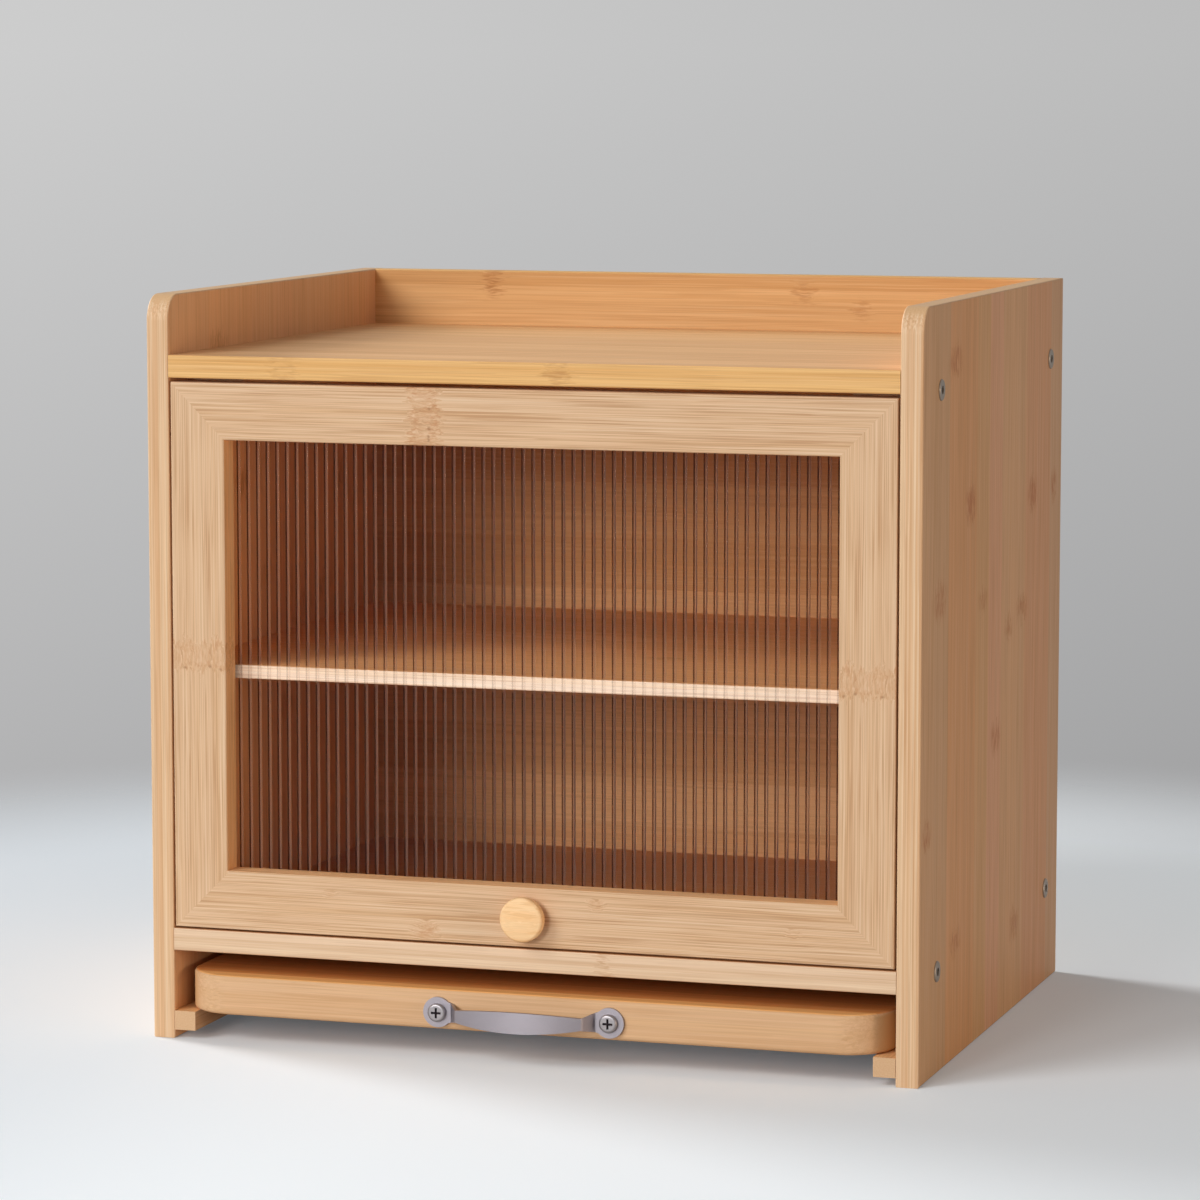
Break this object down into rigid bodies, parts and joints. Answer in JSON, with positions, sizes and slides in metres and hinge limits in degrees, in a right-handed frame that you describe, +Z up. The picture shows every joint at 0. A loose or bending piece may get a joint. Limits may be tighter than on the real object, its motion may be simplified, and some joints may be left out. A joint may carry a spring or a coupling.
{
  "type": "bread box with cutting board",
  "caption": "Two-level bamboo bread box with raised top tray, lift-up door with a clear ribbed panel, and a pull-out cutting board on rails underneath.",
  "frame": {"origin": "on the counter, under the centre of the whole footprint with the board's handle included", "axes": "+X to the right as seen from the front, -Y to the front (door and handle), +Z up"},
  "size_m": [0.4016, 0.3294, 0.3775],
  "materials": {
    "bamboo_side": "clear satin lacquer",
    "bamboo_board": "clear satin lacquer",
    "bamboo_shelf": "clear satin lacquer",
    "bamboo_rail": "clear satin lacquer",
    "bamboo_door": "clear satin lacquer",
    "bamboo_cutting_board": "oiled",
    "turned_bamboo": "clear satin lacquer",
    "clear_acrylic": "clear moulded, vertical ribs",
    "satin_steel": "satin",
    "plated_steel": "zinc plated",
    "nickel": "nickel plated"
  },
  "bodies": {
    "cabinet": {"left_side_panel": "bamboo_side", "right_side_panel": "bamboo_side", "top_board": "bamboo_board", "left_top_cleat": "bamboo_board", "right_top_cleat": "bamboo_board", "bottom_board": "bamboo_board", "back_board": "bamboo_board", "shelf": "bamboo_shelf", "left_slide_rail": "bamboo_rail", "right_slide_rail": "bamboo_rail", "left_stop_block": "bamboo_rail", "right_stop_block": "bamboo_rail", "catch_magnets": "nickel", "left_side_screws": "plated_steel", "right_side_screws": "plated_steel", "left_rail_screws": "plated_steel", "right_rail_screws": "plated_steel", "cleat_screws": "plated_steel", "back_board_screws": "plated_steel"},
    "door": {"door_left_stile": "bamboo_door", "door_right_stile": "bamboo_door", "door_top_rail": "bamboo_door", "door_bottom_rail": "bamboo_door", "fluted_panel": "clear_acrylic", "panel_screws": "plated_steel", "strike_plates": "nickel", "knob": "turned_bamboo", "knob_screw": "plated_steel", "left_hinge_pin": "plated_steel", "right_hinge_pin": "plated_steel"},
    "cutting_board": {"cutting_board": "bamboo_cutting_board", "board_handle": "satin_steel", "handle_screws": "plated_steel"}
  },
  "joints": [
    {"name": "door_hinge", "type": "hinge", "parent": "cabinet", "child": "door", "pos_m": [0, -0.13705, 0.319], "axis": [-1, 0, 0], "range_deg": [0, 130]},
    {"name": "board_slide", "type": "slide", "parent": "cabinet", "child": "cutting_board", "axis": [0, -1, 0], "range_m": [0, 0.25]}
  ]
}
